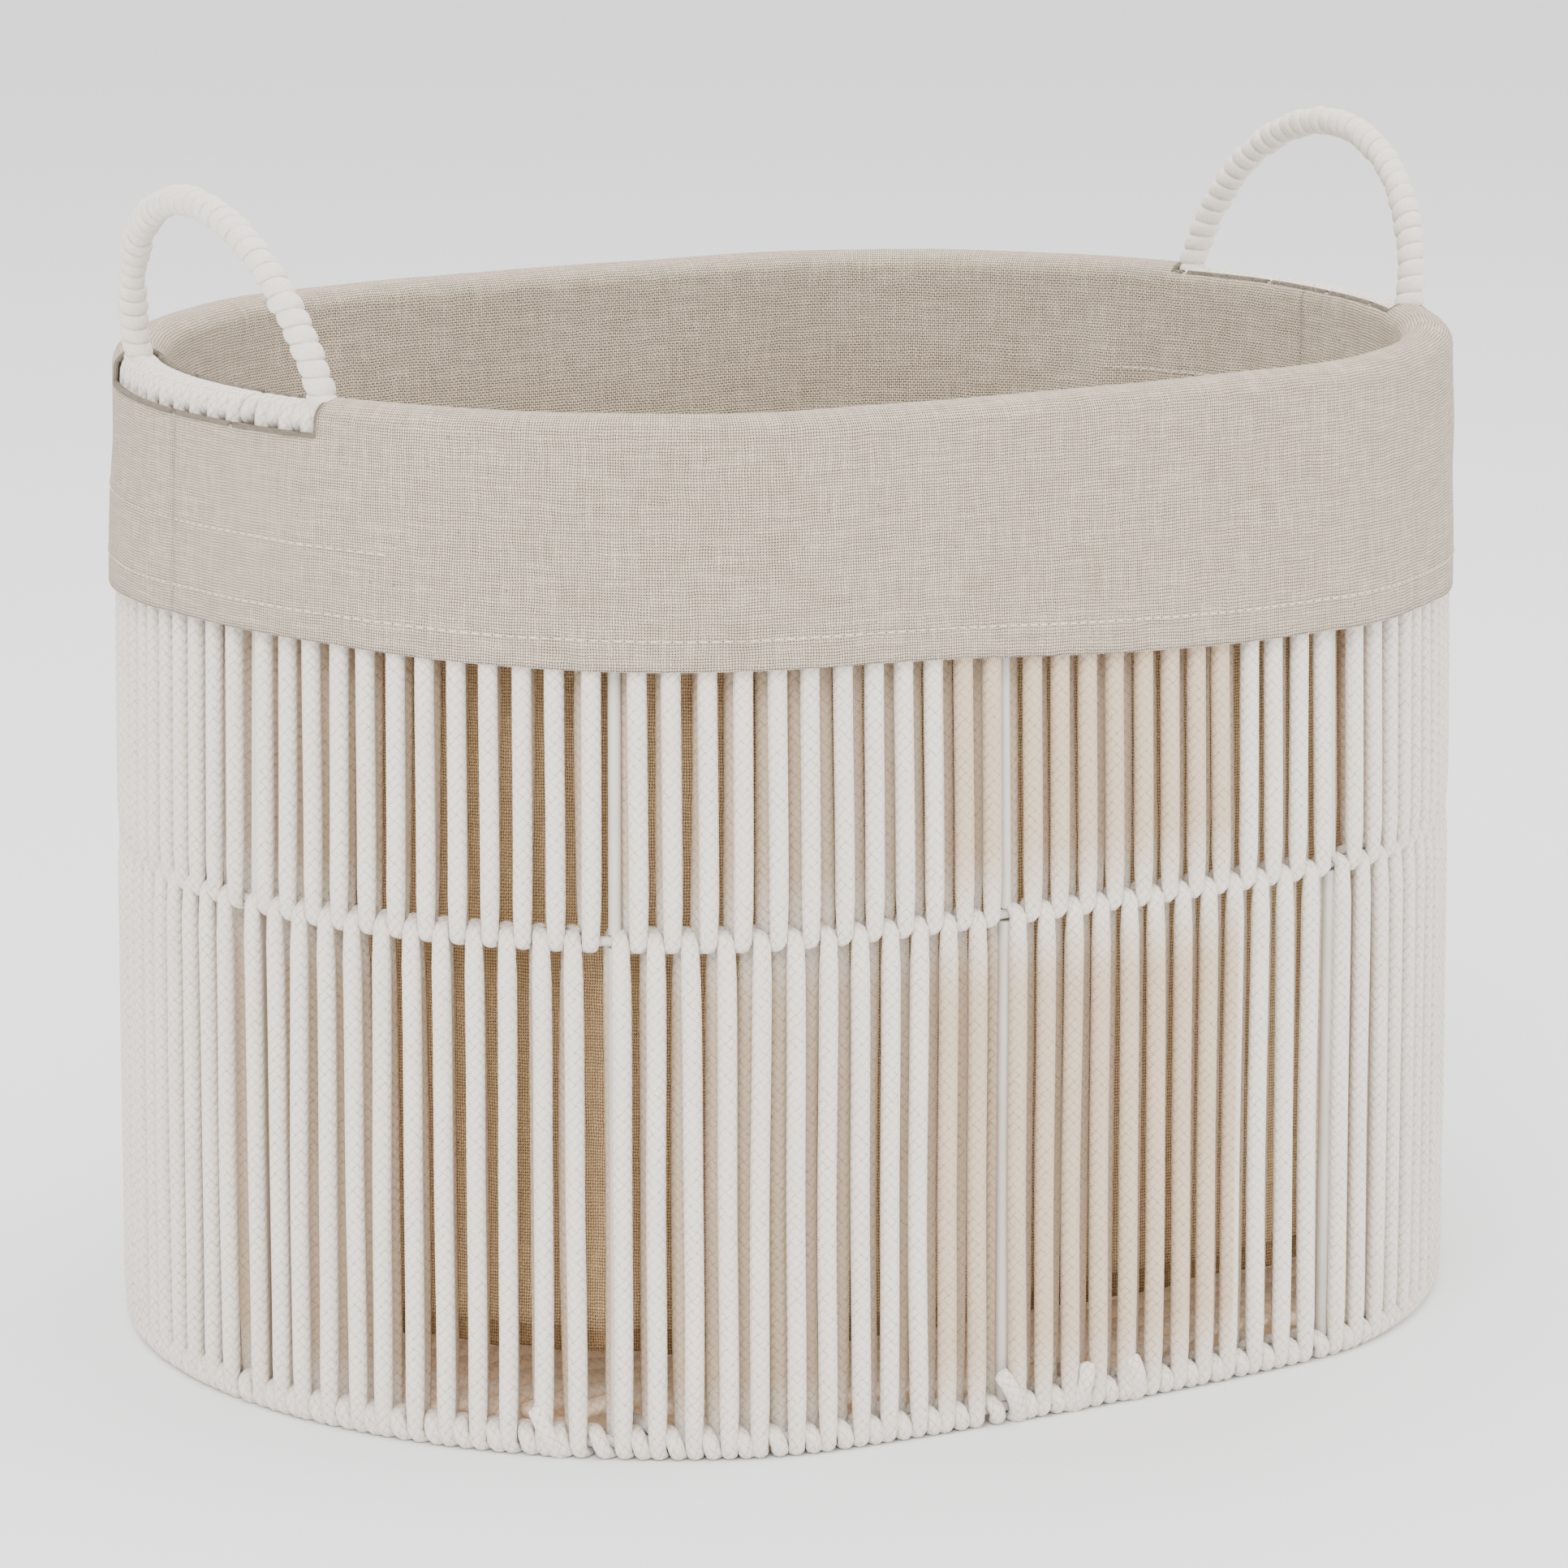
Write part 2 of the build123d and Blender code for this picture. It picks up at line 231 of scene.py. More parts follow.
def piece(name, shape, material, body):
    """A new object of the basket from (vertices, faces, UVs)."""
    verts, faces, uvs = shape
    mesh = bpy.data.meshes.new(name)
    mesh.from_pydata(verts.tolist(), [], faces)
    layer = mesh.uv_layers.new(name="UVMap")
    layer.data.foreach_set("uv", np.ascontiguousarray(uvs, dtype=np.float32).ravel())
    mesh.polygons.foreach_set("use_smooth", [True] * len(mesh.polygons))
    mesh.materials.append(material)
    mesh.update()
    obj = bpy.data.objects.new(name, mesh)
    bpy.context.scene.collection.objects.link(obj)
    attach(obj, body)
    return obj


def grid_faces(rows, columns, keep=None):
    """Quads of a rows x columns grid of vertices; keep, if given, picks among them."""
    i, j = np.meshgrid(np.arange(rows - 1), np.arange(columns - 1), indexing="ij")
    near, far = i * columns + j, (i + 1) * columns + j
    quads = np.stack([near, near + 1, far + 1, far], -1)
    quads = quads.reshape(-1, 4)
    return quads if keep is None else quads[keep.reshape(-1)]


# --- materials --------------------------------------------------------------
class Shader:
    """A material's node tree, with short calls to add nodes."""

    def __init__(self, name):
        self.material = bpy.data.materials.new(name)
        self.material.use_nodes = True
        self.nodes = self.material.node_tree.nodes
        self.links = self.material.node_tree.links
        self.surface = self.nodes["Principled BSDF"]

    def put(self, socket, value):
        if isinstance(value, bpy.types.NodeSocket):
            self.links.new(value, socket)
        else:
            socket.default_value = value

    def math(self, operation, a, b=None, c=None):
        node = self.nodes.new("ShaderNodeMath")
        node.operation = operation
        for socket, value in zip(node.inputs, (a, b, c)):
            if value is not None:
                self.put(socket, value)
        return node.outputs[0]

    def uv(self):
        node = self.nodes.new("ShaderNodeUVMap")
        node.uv_map = "UVMap"
        split = self.nodes.new("ShaderNodeSeparateXYZ")
        self.links.new(node.outputs[0], split.inputs[0])
        return split.outputs[0], split.outputs[1]

    def shade(self):
        node = self.nodes.new("ShaderNodeUVMap")
        node.uv_map = "Shade"
        split = self.nodes.new("ShaderNodeSeparateXYZ")
        self.links.new(node.outputs[0], split.inputs[0])
        return split.outputs[0]

    def join(self, x, y, z=0.0):
        node = self.nodes.new("ShaderNodeCombineXYZ")
        for socket, value in zip(node.inputs, (x, y, z)):
            self.put(socket, value)
        return node.outputs[0]

    def here(self):
        return self.nodes.new("ShaderNodeTexCoord").outputs["Object"]

    def noise(self, vector, scale, detail=3.0, roughness=0.55):
        node = self.nodes.new("ShaderNodeTexNoise")
        self.put(node.inputs["Vector"], vector)
        node.inputs["Scale"].default_value = scale
        node.inputs["Detail"].default_value = detail
        node.inputs["Roughness"].default_value = roughness
        return node.outputs[0]

    def between(self, value, low, high, to_low=0.0, to_high=1.0):
        node = self.nodes.new("ShaderNodeMapRange")
        for socket, v in zip(node.inputs, (value, low, high, to_low, to_high)):
            self.put(socket, v)
        return node.outputs[0]

    def mix(self, share, a, b):
        node = self.nodes.new("ShaderNodeMix")
        node.data_type = "RGBA"
        self.put(node.inputs[0], share)
        self.put(node.inputs[6], a)
        self.put(node.inputs[7], b)
        return node.outputs[2]

    def tinted(self, colour, tint):
        node = self.nodes.new("ShaderNodeMix")
        node.data_type = "RGBA"
        node.blend_type = "MULTIPLY"
        node.inputs[0].default_value = 1.0
        self.put(node.inputs[6], colour)
        self.put(node.inputs[7], tint)
        return node.outputs[2]

    def bump(self, height, distance, strength=1.0, after=None):
        node = self.nodes.new("ShaderNodeBump")
        node.inputs["Strength"].default_value = strength
        node.inputs["Distance"].default_value = distance
        self.put(node.inputs["Height"], height)
        if after is not None:
            self.links.new(after, node.inputs["Normal"])
        return node.outputs[0]

    def finish(self, colour, normal, roughness, sheen=0.0, specular=0.3, glow=0.0):
        """glow is painted light: an emission for the light that comes through from behind thin or
        loose cloth.
        """
        self.put(self.surface.inputs["Base Color"], colour)
        if glow:
            self.put(self.surface.inputs["Emission Color"], colour)
        self.surface.inputs["Emission Strength"].default_value = glow
        if normal is not None:
            self.put(self.surface.inputs["Normal"], normal)
        self.put(self.surface.inputs["Roughness"], roughness)
        self.surface.inputs["Sheen Weight"].default_value = sheen
        self.surface.inputs["Sheen Roughness"].default_value = 0.5
        self.surface.inputs["Specular IOR Level"].default_value = specular
        return self.material


def srgb(r, g, b):
    """A colour given as 0 to 255 on a screen."""
    shares = (r / 255, g / 255, b / 255)
    linear = [c / 12.92 if c <= 0.04045 else ((c + 0.055) / 1.055) ** 2.4 for c in shares]
    return (*linear, 1.0)


def braid(name, light, dark, strands=10, rise=0.3 * MM, shaded=None, glow=0.0):
    """Braided cotton: strands that cross over and under, with fluff, a few darker fibres and
    painted shade in the hollows between the strands.
    """
    s = Shader(name)
    u, v = s.uv()
    x, y = s.math("MULTIPLY", u, strands / 2), s.math("MULTIPLY", v, strands / 2 * 1.15)
    p, q = s.math("ADD", x, y), s.math("SUBTRACT", y, x)
    odd = s.math("PINGPONG", s.math("ADD", s.math("FLOOR", p), s.math("FLOOR", q)), 1.0)
    over = s.math("SINE", s.math("MULTIPLY", s.math("FRACT", p), math.pi))
    under = s.math("SINE", s.math("MULTIPLY", s.math("FRACT", q), math.pi))
    even = s.math("SUBTRACT", 1.0, odd)
    strand = s.math("ADD", s.math("MULTIPLY", over, odd), s.math("MULTIPLY", under, even))
    where = s.here()
    fluff = s.noise(where, 1400.0, 4.0, 0.7)
    blotch = s.noise(where, 60.0, 2.0)
    broken = s.between(s.noise(where, 420.0, 1.0), 0.50, 0.60)
    dash = s.math("MULTIPLY", s.between(strand, 0.55, 0.15), broken)
    stretched = s.join(s.math("MULTIPLY", p, 7.0), s.math("MULTIPLY", q, 1.3), 0.0)
    fibre = s.noise(stretched, 1.0, 2.0, 0.6)
    fleck = s.between(s.noise(where, 700.0, 1.0), 0.70, 0.78)
    # painted shade: the strands' crowns take the light colour and the hollows between them the dark
    # one
    tone = s.mix(s.between(strand, 0.0, 0.55), dark, light)
    tone = s.mix(s.between(blotch, 0.35, 0.75, 0.0, 0.35), tone, srgb(228, 219, 205))
    tone = s.mix(s.math("MULTIPLY", fleck, 0.35), tone, srgb(170, 158, 142))
    # painted shade: dash lays broken darker lines along the hollows between the strands
    tone = s.mix(s.math("MULTIPLY", dash, 0.5), tone, srgb(178, 168, 152))
    # painted shade: the turns' inner side, marked in the Shade UV map, is tinted darker and warmer
    # for the shade and the liner's warm bounced light there
    if shaded is not None:
        tint = s.mix(s.shade(), (1.0, 1.0, 1.0, 1.0), shaded)
        tone = s.tinted(tone, tint)
    height = s.math("MULTIPLY_ADD", fibre, 0.25, strand)
    normal = s.bump(height, rise, 0.8)
    normal = s.bump(fluff, 0.25 * MM, 0.6, after=normal)
    return s.finish(tone, normal, 0.93, sheen=0.25, specular=0.15, glow=glow)


def linen(name, light, dark, hole, glow=0.0, warp_pitch=0.80 * MM, weft_pitch=0.95 * MM):
    """Plain-weave linen: UVs are metres along the cloth; threads vary in thickness and tone, with
    painted shade in the dips and gaps between them.
    """
    s = Shader(name)
    u, v = s.uv()
    where = s.join(u, v)
    drift = s.between(s.noise(where, 60.0, 3.0, 0.7), 0.0, 1.0, -1.0 * MM, 1.0 * MM)
    sag = s.between(s.noise(s.join(v, u, 3.0), 60.0, 3.0, 0.7), 0.0, 1.0, -1.0 * MM, 1.0 * MM)
    x = s.math("DIVIDE", s.math("ADD", u, drift), warp_pitch)
    y = s.math("DIVIDE", s.math("ADD", v, sag), weft_pitch)
    parity = s.math("PINGPONG", s.math("ADD", s.math("FLOOR", x), s.math("FLOOR", y)), 1.0)
    other = s.math("SUBTRACT", 1.0, parity)
    warp = s.math("SINE", s.math("MULTIPLY", s.math("FRACT", x), math.pi))
    weft = s.math("SINE", s.math("MULTIPLY", s.math("FRACT", y), math.pi))
    warp_thread = s.math("MULTIPLY", s.math("FLOOR", x), 0.73)
    weft_thread = s.math("MULTIPLY", s.math("FLOOR", y), 0.61)
    warp_slub = s.noise(s.join(warp_thread, s.math("MULTIPLY", v, 70.0)), 1.0, 3.0)
    weft_slub = s.noise(s.join(s.math("MULTIPLY", u, 60.0), weft_thread, 7.0), 1.0, 3.0)
    warp_fat = s.math("POWER", warp, s.between(warp_slub, 0.3, 0.7, 1.3, 0.35))
    weft_fat = s.math("POWER", weft, s.between(weft_slub, 0.3, 0.7, 1.3, 0.35))
    gap = s.math("MULTIPLY", s.math("SUBTRACT", 1.0, warp_fat), s.math("SUBTRACT", 1.0, weft_fat))
    top = s.math("ADD", s.math("MULTIPLY", warp_fat, parity), s.math("MULTIPLY", weft_fat, other))
    slub = s.math(
        "ADD", s.math("MULTIPLY", warp_slub, parity), s.math("MULTIPLY", weft_slub, other))
    grain = s.noise(where, 900.0, 2.0, 0.6)
    cloud = s.noise(where, 14.0, 3.0)
    drawn_out = s.join(s.math("MULTIPLY", u, 260.0), s.math("MULTIPLY", v, 9.0), 2.0)
    streak = s.noise(drawn_out, 1.0, 2.0)
    # painted shade: the thread on top is light at its crown and dark where it dips under the next
    tone = s.mix(s.between(top, 0.05, 0.75), dark, light)
    pale = s.tinted(light, (1.22, 1.22, 1.22, 1.0))
    tone = s.mix(s.between(slub, 0.50, 0.75, 0.0, 0.5), tone, pale)
    tone = s.mix(s.between(streak, 0.52, 0.72, 0.0, 0.22), tone, dark)
    tone = s.mix(s.between(cloud, 0.35, 0.7, 0.0, 0.16), tone, dark)
    tone = s.mix(s.between(grain, 0.45, 0.75, 0.0, 0.25), tone, dark)
    # painted shade: the gaps between the threads are darkened to the hole colour
    tone = s.mix(s.between(gap, 0.06, 0.34, 0.0, 0.9), tone, hole)
    speck = s.between(s.noise(where, 620.0, 0.0), 0.83, 0.86)
    tone = s.mix(s.math("MULTIPLY", speck, 0.55), tone, srgb(110, 96, 80))
    height = s.math("MULTIPLY_ADD", slub, 0.35, top)
    normal = s.bump(height, 0.45 * MM, 1.0)
    normal = s.bump(cloud, 1.2 * MM, 0.35, after=normal)
    return s.finish(tone, normal, 0.92, sheen=0.12, specular=0.15, glow=glow)


def wound_cotton(name, light, dark):
    """A flat cotton cord wound in turns: U counts the turns, V is the way along them."""
    s = Shader(name)
    u, _ = s.uv()
    where = s.here()
    middle = s.math("ABSOLUTE", s.math("MULTIPLY_ADD", s.math("FRACT", u), 2.0, -1.0))
    groove_shade = s.between(s.math("POWER", middle, 7.0), 0.15, 0.95)
    patchy = s.between(s.noise(where, 150.0, 2.0), 0.38, 0.60, 0.15, 0.75)
    tone = s.mix(s.between(s.noise(where, 900.0, 3.0, 0.7), 0.35, 0.65), dark, light)
    fleck = s.between(s.noise(where, 700.0, 1.0), 0.70, 0.78, 0.0, 0.3)
    tone = s.mix(fleck, tone, srgb(176, 164, 148))
    # painted shade: the grooves between the turns are darkened, in patches
    tone = s.mix(s.math("MULTIPLY", groove_shade, patchy), tone, srgb(186, 174, 156))
    normal = s.bump(s.noise(where, 1100.0, 4.0, 0.7), 0.3 * MM, 0.7)
    return s.finish(tone, normal, 0.93, sheen=0.25, specular=0.15)


def coated_wire(name):
    s = Shader(name)
    where = s.here()
    grain = s.noise(where, 900.0, 2.0)
    patch = s.between(s.noise(where, 40.0, 2.0), 0.4, 0.7)
    tone = s.mix(patch, srgb(226, 222, 214), srgb(214, 208, 198))
    return s.finish(tone, s.bump(grain, 0.05 * MM, 0.4), 0.38, specular=0.5)


def thread(name, colour):
    s = Shader(name)
    _, v = s.uv()
    twist = s.math("SINE", s.math("MULTIPLY", v, 90.0))
    tone = s.mix(s.between(s.noise(s.here(), 500.0), 0.3, 0.7), colour, srgb(238, 232, 220))
    return s.finish(tone, s.bump(twist, 0.06 * MM, 0.5), 0.8, sheen=0.1, specular=0.3)


CORD_LIGHT, CORD_DARK = srgb(243, 236, 226), srgb(226, 217, 204)
# shaded is the painted warm shade given to the turns' inner side
COTTON = braid("braided_cotton", CORD_LIGHT, CORD_DARK, shaded=(0.80, 0.68, 0.55, 1.0))
END_COTTON = braid("cut_cotton", CORD_LIGHT, CORD_DARK)
# painted light: the base cords get warm colours and a glow for the warm light that comes through
# the liner onto the base
BASE_COTTON_PAINTED_LIGHT = braid("base_braided_cotton_painted_light", srgb(250, 222, 188), srgb(236, 204, 166), glow=0.16)
HANDLE_COTTON = wound_cotton("handle_cotton", srgb(244, 237, 228), srgb(234, 226, 215))
LINEN = linen("linen", srgb(217, 202, 181), srgb(192, 176, 154), srgb(74, 60, 45))
# painted shade and light: a warmer, more saturated copy of the linen with a glow, for the wall's
# outer face between the cords, standing in for the warm shade and bounced light there
LINEN_BACK_PAINTED_SHADE_AND_LIGHT = linen(
    "linen_outside_wall_painted_shade_and_light", srgb(236, 204, 158), srgb(206, 168, 120), srgb(120, 84, 48), glow=0.08)
# painted shade: the hanging seam edge gets a darker, warmer copy of the linen for the shadow under
# the liner's floor; its glow is painted light through the cloth
RAW_EDGE_PAINTED_SHADE = linen(
    "linen_raw_edge_painted_shade", srgb(190, 156, 112), srgb(160, 126, 84), srgb(110, 82, 50), glow=0.05)
WIRE = coated_wire("powder_coated_wire")
THREAD = thread("cream_thread", srgb(222, 212, 196))


# --- wound cord -------------------------------------------------------------
def bay_turns(first):
    """The u of every turn: TURNS in each bay, from first after its upright."""
    bay = PERIMETER / BAYS
    uprights = (FIRST_UPRIGHT * PERIMETER + np.arange(BAYS) * bay)
    turns = uprights[:, None] + first + PITCH * np.arange(TURNS)[None, :]
    return np.sort(np.mod(turns.ravel(), PERIMETER))


def smoothstep(x):
    x = np.clip(x, 0.0, 1.0)
    return x * x * (3 - 2 * x)


def one_turn(u, gap, up, end_n, end_z, wobble):
    """One turn: up the outside, one and a half times round the end ring and down the inside.

    Gives columns u, n, z, half width and half thickness.  gap is the way to the next turn.
    """
    reach = abs(end_z - MIDDLE_Z)
    side_r, crown_t, side_t = MIDDLE_R + 2.2 * MM, 1.6 * MM, 2.45 * MM
    rows = []

    def ring_point(turned, centre_n, centre_z, radius, at_u, width, thick):
        n = centre_n + radius * math.cos(turned)
        z = centre_z + up * radius * math.sin(turned)
        rows.append((at_u, n, z, width, thick))

    for x in np.linspace(0.0, 1.0, 4)[:-1]:
        turned = -math.pi / 2 * (1 - x)
        thick = (1.05 + 1.15 * x * x) * MM
        at_u = u - gap * 0.10 * (1 - x) + wobble[0] * x
        ring_point(turned, 0.0, MIDDLE_Z, MIDDLE_R + thick, at_u, 2.55 * MM, thick)
    for x in np.linspace(0.0, 1.0, 15):
        near = min(x, 1 - x) * reach
        fill = smoothstep(near / (9 * MM))
        n = (1 - x) * side_r + x * (end_n + RING_R + side_t)
        n += wobble[3] * math.sin(math.pi * x)
        sway = wobble[0] * (1 - x) + wobble[1] * x + wobble[2] * math.sin(math.pi * x)
        sway += 0.12 * MM * math.sin(9 * x + 1000 * wobble[2])
        thick = (2.2 + 0.7 * fill + 0.25 * x * (1 - fill)) * MM
        z = MIDDLE_Z + up * x * reach
        rows.append((u + sway, n, z, (2.65 + 0.38 * fill) * MM, thick))
    shares = np.interp(np.linspace(0, 540, 25)[1:-1], [0, 90, 180, 270, 360, 450, 540],
                       [0.0, 0.09, 0.18, 0.30, 0.52, 0.68, 0.75])
    for turned, share in zip(np.radians(np.linspace(0, 540, 25)[1:-1]), shares):
        thick = crown_t + (side_t - crown_t) * math.cos(turned) ** 2
        drift = wobble[1] * (1 - share) + wobble[4] * math.sin(turned / 3)
        ring_point(turned, end_n, end_z, RING_R + thick, u + gap * share + drift, 2.62 * MM, thick)
    for x in np.linspace(0.0, 1.0, 9):
        near = min(x, 1 - x) * reach
        fill = smoothstep(near / (9 * MM))
        n = (1 - x) * (end_n - RING_R - side_t) - x * side_r
        sway = wobble[5] * math.sin(math.pi * x)
        z = end_z - up * x * reach
        width, thick = (2.65 + 0.35 * fill) * MM, (2.2 + 0.7 * fill) * MM
        rows.append((u + gap * 0.75 + sway, n, z, width, thick))
    for x in np.linspace(0.0, 1.0, 4)[1:]:
        turned = math.pi + math.pi / 2 * x
        thick = (2.2 - 1.15 * x * x) * MM
        at_u = u + gap * (0.75 + 0.15 * x)
        ring_point(turned, 0.0, MIDDLE_Z, MIDDLE_R + thick, at_u, 2.55 * MM, thick)
    return rows


def quarter_of(u):
    """Which CAD winding a turn belongs to."""
    x, y = place(u, 0.0, 0.0)[:2]
    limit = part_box("upper_winding_back")[1][0]
    if abs(x) < limit:
        return "back" if y > 0 else "front"
    return "right" if x > 0 else "left"


def windings(level):
    """The cord of the upper or lower band, a piece for each CAD quarter."""
    upper = level == "upper"
    rng = np.random.default_rng(11 if upper else 23)
    turns = bay_turns((7.4 if upper else 2.2) * MM)
    gaps = np.mod(np.roll(turns, -1) - turns, PERIMETER)
    sizes = np.array([0.25, 0.45, 0.30, 0.20, 0.25, 0.6]) * MM
    quarters = {}
    runs = []
    last = None
    for u, gap in zip(turns, gaps):
        wobble = rng.normal(size=6) * sizes
        wobble[0] = np.clip(wobble[0], -0.4 * MM, 0.4 * MM)
        if upper:
            turn = one_turn(u, gap, 1, -TAPER, TOP_Z, wobble)
        else:
            turn = one_turn(u, gap, -1, 0.0, BOTTOM_Z, wobble)
        where = quarter_of(u)
        if where != last:
            runs.append((where, []))
            last = where
        runs[-1][1].extend(turn)
    for where, turn_rows in runs:
        table = np.array(turn_rows)
        path = place(table[:, 0], table[:, 1], table[:, 2])
        shape = sweep(path, along(table[:, 0]), table[:, 3], table[:, 4])
        quarters.setdefault(where, []).append(shape)
    for where, shapes in quarters.items():
        cord = piece(f"{level}_cord_{where}", joined(shapes), COTTON, "basket")
        shade_inner_side(cord)
        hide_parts(f"{level}_winding_{where}")


def shade_inner_side(cord):
    """Mark the turns' inner side, which takes a painted warm shade, and press them flat on the
    floor.
    """
    mesh = cord.data
    at = np.empty(len(mesh.vertices) * 3)
    mesh.vertices.foreach_get("co", at)
    at = at.reshape(-1, 3)
    at[:, 2] = np.maximum(at[:, 2], 0.0)
    mesh.vertices.foreach_set("co", at.ravel())
    z = at[:, 2]
    lean = TAPER * np.clip((z - MIDDLE_Z) / (TOP_Z - MIDDLE_Z), 0, 1)
    depth = oval_depth(at) + lean
    inner = smoothstep((1.4 * MM - depth) / (3.0 * MM))
    for level in (BOTTOM_Z, MIDDLE_Z, TOP_Z):
        inner *= smoothstep((np.abs(z - level) - 3.5 * MM) / (14 * MM))
    corners = np.empty(len(mesh.loops), dtype=np.int32)
    mesh.loops.foreach_get("vertex_index", corners)
    shade = mesh.uv_layers.new(name="Shade")
    pairs = np.stack([inner[corners], np.zeros(len(corners))], -1)
    shade.data.foreach_set("uv", pairs.astype(np.float32).ravel())


CUT_ENDS = (
    # way along the oval from the first upright, lean along it and height, in millimetres
    (-4.0, 8.5, 17.0),
    (27.5, -2.5, 15.0),
    (44.5, 3.5, 14.5),
    (-150.0, 6.0, 15.5),
)


def cord_ends():
    """Cut ends of cord tucked over the bottom ring, where one length stops and the next starts."""
    upright = FIRST_UPRIGHT * PERIMETER
    shapes = []
    for start, lean, height in CUT_ENDS:
        x = np.linspace(0.0, 1.0, 10)
        u = upright + (start + lean * x) * MM
        z = BOTTOM_Z + (height - 5.0) * MM * (1 - x) - 4.4 * MM * x ** 2
        n = (5.4 + 1.9 * np.sin(math.pi * (0.15 + 0.85 * x))) * MM - 2.5 * MM * x ** 4
        path = place(u, n, z)
        verts, faces, uvs = sweep(path, along(u), 2.75 * MM, 1.9 * MM, tips=True)
        verts[:, 2] = np.maximum(verts[:, 2], 0.0)
        shapes.append((verts, faces, uvs))
    piece("cord_ends", joined(shapes), END_COTTON, "basket")


# --- base -------------------------------------------------------------------
def base_weave():
    """Cords along the basket, woven over and under the base wires."""
    rng = np.random.default_rng(5)
    low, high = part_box("base_weave")
    ring = place(np.linspace(0, PERIMETER, 2000), -8.0 * MM, 0.0)
    pitch = 6.3 * MM
    count = int((high[1] - low[1] - pitch) / pitch)
    shapes = []
    for i in range(count):
        y = (i - (count - 1) / 2) * pitch
        close = ring[np.abs(ring[:, 1] - y) < 1.5 * MM]
        half = np.abs(close[:, 0]).max() - 1.0 * MM
        x = np.linspace(-half, half, int(half / (3.2 * MM)))
        over = 1 if i % 2 else -1
        lift = over * np.cos(math.pi * x / BASE_WIRE_PITCH)
        z = BASE_Z + lift * 3.9 * MM
        sway = 0.3 * MM * np.sin(x / (9.0 * MM) + rng.uniform(0, 6)) + rng.normal() * 0.12 * MM
        path = np.stack([x, y + sway, z], -1)
        shapes.append(sweep(path, np.array([0.0, 1.0, 0.0]), 3.5 * MM, 2.7 * MM, segments=8))
    weave = piece("base_cords", joined(shapes), BASE_COTTON_PAINTED_LIGHT, "basket")
    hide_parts("base_weave")


# --- handles ----------------------------------------------------------------
def handle_wrap(side, name):
    """A cord wound along a handle's wire, pulled flat, with a ridge for each turn."""
    rng = np.random.default_rng(31 if side > 0 else 37)
    top_end = END_RADIUS - TAPER
    foot_x = HALF_LENGTH - END_RADIUS + math.sqrt(top_end ** 2 - HANDLE_HALF ** 2)
    lean = HANDLE_LEAN * side
    up = np.array([math.sin(lean), 0.0, math.cos(lean)])
    out = np.array([math.cos(lean), 0.0, -math.sin(lean)])
    foot = np.array([side * foot_x, 0.0, TOP_Z])
    pitch = 5.3 * MM
    start = 3.0 * MM
    length = math.pi * HANDLE_HALF - 2 * start
    rings = int(length / (pitch / 16))
    s = np.linspace(0, length, rings)
    turned = (s + start) / HANDLE_HALF
    y = HANDLE_HALF * np.cos(turned)
    h = HANDLE_HALF * np.sin(turned)
    path = foot + np.outer(y, [0, 1, 0]) + np.outer(h, up)
    tangent = np.gradient(path, axis=0)
    tangent /= np.linalg.norm(tangent, axis=1)[:, None]
    inward = np.cross(tangent, out)
    segments = 32
    around = np.arange(segments) * 2 * math.pi / segments
    phase = s[:, None] / pitch - side * around[None, :] / (2 * math.pi)
    turn_no = np.floor(phase)
    across = (phase - turn_no) * 2 - 1
    swell = rng.normal(size=400) * 0.16
    turn_no = turn_no.astype(int)
    bulge = np.clip(1 - 0.99 * np.abs(across) ** 2.6, 0, 1) ** 0.6 * (1 + swell[turn_no % 400])
    uneven = 0.16 * np.sin(3 * around[None, :] + swell[(turn_no + 7) % 400] * 20) * bulge
    fluff = 0.07 * np.sin(17 * around[None, :] + s[:, None] / (0.31 * MM)) * bulge
    radius = (3.55 + 1.15 * bulge + uneven + fluff) * MM
    verts = path[:, None, :] + radius[..., None] * (
        np.cos(around)[None, :, None] * out + np.sin(around)[None, :, None] * inward[:, None, :])
    verts = verts.reshape(-1, 3)
    faces, i, j = tube_faces(rings, segments)
    ring_u = np.stack([i, i, i + 1, i + 1], -1)
    seg_u = np.stack([j, j + 1, j + 1, j], -1)
    cord_u = s[ring_u] / pitch - side * seg_u / segments
    cord_v = seg_u / segments
    uvs = np.stack([cord_u, cord_v], -1).reshape(-1, 2)
    faces += tube_caps(rings, segments)
    uvs = np.vstack([uvs, np.zeros((2 * segments, 2))])
    wrap = piece(f"handle_cord_{name}", (verts, faces, uvs), HANDLE_COTTON, "basket")
    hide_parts(f"handle_wrap_{name}")


# --- liner ------------------------------------------------------------------
def end_distance(u):
    """Way along the oval to the nearer end of the long axis, and whether it is the left one."""
    u = np.mod(u, PERIMETER)
    right = np.minimum(u, PERIMETER - u)
    left = np.abs(u - PERIMETER / 2)
    return np.minimum(right, left), left < right


def waves(u, v, seed, count, length):
    """Smooth seeded noise of about -1 to 1; u is kept periodic round the basket."""
    rng = np.random.default_rng(seed)
    total = np.zeros(np.broadcast(u, v).shape)
    for _ in range(count):
        cycles = rng.integers(1, int(PERIMETER / length) + 1)
        total = total + rng.normal() * np.sin(
            2 * math.pi * cycles * u / PERIMETER
            + rng.uniform(-1, 1) * 2 * math.pi * v / length
            + rng.uniform(0, 6.28))
    return total / math.sqrt(count)


def cuff_edge(u):
    """Height of the cuff's lower edge: highest at the left end, lowest at the right one."""
    share = 2 * math.pi * u / PERIMETER
    edge = 240.6 * MM - 6.0 * MM * np.cos(share)
    return edge + 0.9 * MM * waves(u, 0.0, 3, 5, 160 * MM)


